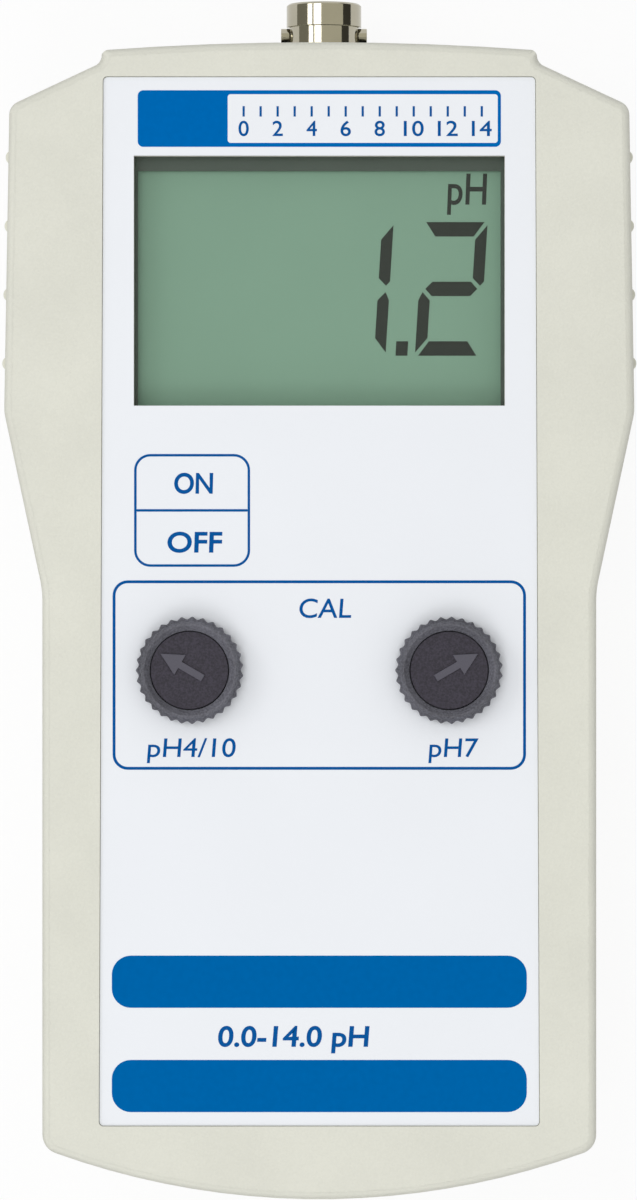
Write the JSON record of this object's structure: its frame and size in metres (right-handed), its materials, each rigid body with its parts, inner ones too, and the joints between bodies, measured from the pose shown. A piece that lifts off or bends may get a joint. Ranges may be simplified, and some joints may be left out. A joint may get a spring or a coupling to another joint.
{
  "type": "digital ph meter",
  "caption": "Handheld digital pH meter with a liquid crystal display, on/off key, two calibration knobs, a bayonet probe socket and a sliding battery door.",
  "frame": {"origin": "centre of the back face, at the middle of the case's length and width, where the meter lies on a bench", "axes": "+X to the right and +Y up towards the probe socket as the front is read, +Z out of the front face"},
  "size_m": [0.08, 0.1517, 0.032],
  "materials": {
    "case_plastic": "moulded ABS, fine spark texture",
    "film": "printed polyester film, satin",
    "lens": "clear acrylic",
    "frame_plastic": "moulded, satin",
    "polariser": "polarising film",
    "display_glass": "polished glass",
    "strip_rubber": "layered silicone",
    "board": "solder-masked laminate",
    "chip": "moulded epoxy",
    "can": "drawn can",
    "resistor": "lacquered",
    "switch": "moulded",
    "trimmer": "moulded",
    "rotor": "moulded",
    "knob": "moulded, satin",
    "knob_cap": "moulded, matt",
    "screw": "zinc plated",
    "nickel": "nickel plated",
    "insulator": "moulded",
    "contact": "gold plated",
    "socket_housing": "moulded",
    "jacket": "printed steel",
    "cells": "wrapped cells",
    "plate": "fibre board",
    "snap": "vinyl",
    "red_lead": "vinyl insulation",
    "black_lead": "vinyl insulation"
  },
  "bodies": {
    "case": {"front_shell": "case_plastic", "rear_shell": "case_plastic", "front_film": "film", "display_lens": "lens", "display_frame": "frame_plastic", "front_polariser": "polariser", "front_glass": "display_glass", "rear_glass": "display_glass", "rear_polariser": "polariser", "contact_strip": "strip_rubber", "main_board": "board", "display_driver": "chip", "amplifier_1": "chip", "amplifier_2": "chip", "capacitor_1": "can", "capacitor_2": "can", "capacitor_3": "can", "resistor_1": "resistor", "resistor_2": "resistor", "resistor_3": "resistor", "resistor_4": "resistor", "switch_housing": "switch", "ph4_trimmer_housing": "trimmer", "ph7_trimmer_housing": "trimmer", "case_screw_1": "screw", "case_screw_2": "screw", "case_screw_3": "screw", "case_screw_4": "screw", "board_screw_1": "screw", "board_screw_2": "screw", "board_screw_3": "screw", "board_screw_4": "screw", "socket_barrel": "nickel", "socket_insulator": "insulator", "socket_contact": "contact", "socket_housing": "socket_housing", "socket_pin": "contact", "battery_jacket": "jacket", "battery_cells": "cells", "battery_base_plate": "plate", "battery_top_plate": "plate", "battery_stud": "nickel", "battery_cup": "nickel", "battery_snap": "snap", "positive_lead": "red_lead", "negative_lead": "black_lead"},
    "left_knob": {"ph4_knob": "knob", "ph4_knob_cap": "knob_cap", "ph4_rotor": "rotor"},
    "right_knob": {"ph7_knob": "knob", "ph7_knob_cap": "knob_cap", "ph7_rotor": "rotor"},
    "power_key": {"key_face": "film", "key_actuator": "switch", "switch_plunger": "switch"},
    "door": {"battery_door": "case_plastic"}
  },
  "joints": [
    {"name": "ph4_knob_turn", "type": "hinge", "parent": "case", "child": "left_knob", "pos_m": [-0.01625, -0.0062, 0.029], "axis": [0, 0, 1], "range_deg": [-192.5, 72.5]},
    {"name": "ph7_knob_turn", "type": "hinge", "parent": "case", "child": "right_knob", "pos_m": [0.01625, -0.0062, 0.029], "axis": [0, 0, 1], "range_deg": [-72.5, 192.5]},
    {"name": "key_press", "type": "slide", "parent": "case", "child": "power_key", "axis": [0, 0, -1], "range_m": [0, 0.0004], "stiffness_N_per_m": 3000},
    {"name": "door_slide", "type": "slide", "parent": "case", "child": "door", "axis": [0, -1, 0], "range_m": [0, 0.064]}
  ]
}
